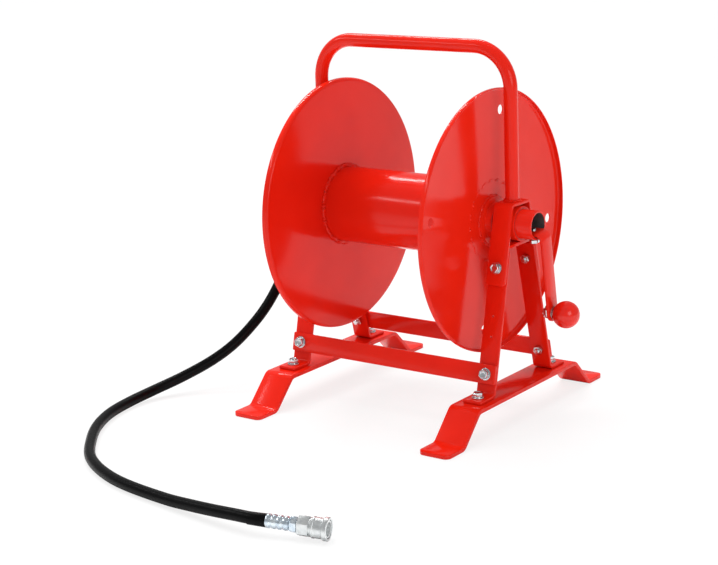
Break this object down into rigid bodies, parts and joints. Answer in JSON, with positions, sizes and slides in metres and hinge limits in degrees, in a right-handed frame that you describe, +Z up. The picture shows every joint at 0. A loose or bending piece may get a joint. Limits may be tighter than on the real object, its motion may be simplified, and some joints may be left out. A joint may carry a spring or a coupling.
{
  "type": "hose reel",
  "caption": "Hand-cranked open hose reel on a bolted A-frame stand, with a carrying handle, an inlet swivel and a lead hose that ends in a quick coupler.",
  "frame": {"origin": "on the floor, midway between the four legs and under the middle of the axle", "axes": "+X along the axle towards the crank, +Y to the rear, +Z up"},
  "size_m": [0.6207, 0.7798, 0.5438],
  "materials": {
    "red_enamel": "glossy red enamel on steel bar, tube and sheet",
    "zinc_plate": "bright zinc plate",
    "black_rubber": "smooth glossy black rubber",
    "red_plastic": "polished red plastic",
    "white_nylon": "natural nylon",
    "seal_rubber": "matt black seal rubber"
  },
  "bodies": {
    "stand": {"foot_bar_right": "red_enamel", "hanger_bracket_right": "red_enamel", "bearing_shelf_right": "red_enamel", "bearing_sleeve_right": "red_enamel", "bearing_bush_right": "white_nylon", "leg_front_right": "red_enamel", "leg_rear_right": "red_enamel", "foot_bar_left": "red_enamel", "hanger_bracket_left": "red_enamel", "bearing_shelf_left": "red_enamel", "bearing_sleeve_left": "red_enamel", "bearing_bush_left": "white_nylon", "leg_front_left": "red_enamel", "leg_rear_left": "red_enamel", "cross_bar_front": "red_enamel", "cross_bar_rear": "red_enamel", "carry_handle": "red_enamel", "foot_bolt_front_right": "zinc_plate", "foot_nut_front_right": "zinc_plate", "cross_bolt_front_right": "zinc_plate", "cross_nut_front_right": "zinc_plate", "hanger_bolt_front_right": "zinc_plate", "hanger_nut_front_right": "zinc_plate", "foot_bolt_rear_right": "zinc_plate", "foot_nut_rear_right": "zinc_plate", "cross_bolt_rear_right": "zinc_plate", "cross_nut_rear_right": "zinc_plate", "hanger_bolt_rear_right": "zinc_plate", "hanger_nut_rear_right": "zinc_plate", "foot_bolt_front_left": "zinc_plate", "foot_nut_front_left": "zinc_plate", "cross_bolt_front_left": "zinc_plate", "cross_nut_front_left": "zinc_plate", "hanger_bolt_front_left": "zinc_plate", "hanger_nut_front_left": "zinc_plate", "foot_bolt_rear_left": "zinc_plate", "foot_nut_rear_left": "zinc_plate", "cross_bolt_rear_left": "zinc_plate", "cross_nut_rear_left": "zinc_plate", "hanger_bolt_rear_left": "zinc_plate", "hanger_nut_rear_left": "zinc_plate", "swivel_body": "zinc_plate", "swivel_seal": "seal_rubber", "hose": "black_rubber", "hose_ferrule": "zinc_plate", "coupler_body": "zinc_plate"},
    "reel": {"flange_right": "red_enamel", "hub_plate_right": "red_enamel", "flange_left": "red_enamel", "hub_plate_left": "red_enamel", "drum_core": "red_enamel", "axle_tube": "red_enamel", "crank_arm": "red_enamel", "crank_bolt": "zinc_plate", "knob_spindle": "zinc_plate", "knob_nut": "zinc_plate", "swivel_stem": "zinc_plate", "water_pipe": "zinc_plate"},
    "knob": {"crank_knob": "red_plastic"},
    "sleeve": {"coupler_sleeve": "zinc_plate"}
  },
  "joints": [
    {"name": "reel_spin", "type": "hinge", "parent": "stand", "child": "reel", "pos_m": [0, 0, 0.2853], "axis": [1, 0, 0], "continuous": true},
    {"name": "knob_spin", "type": "hinge", "parent": "reel", "child": "knob", "pos_m": [0.235, 0.01951, 0.15475], "axis": [1, 0, 0], "continuous": true},
    {"name": "coupler_sleeve_slide", "type": "slide", "parent": "stand", "child": "sleeve", "axis": [-0.953, -0.299, 0.049], "range_m": [0, 0.003], "stiffness_N_per_m": 900, "springref_m": -0.003}
  ]
}
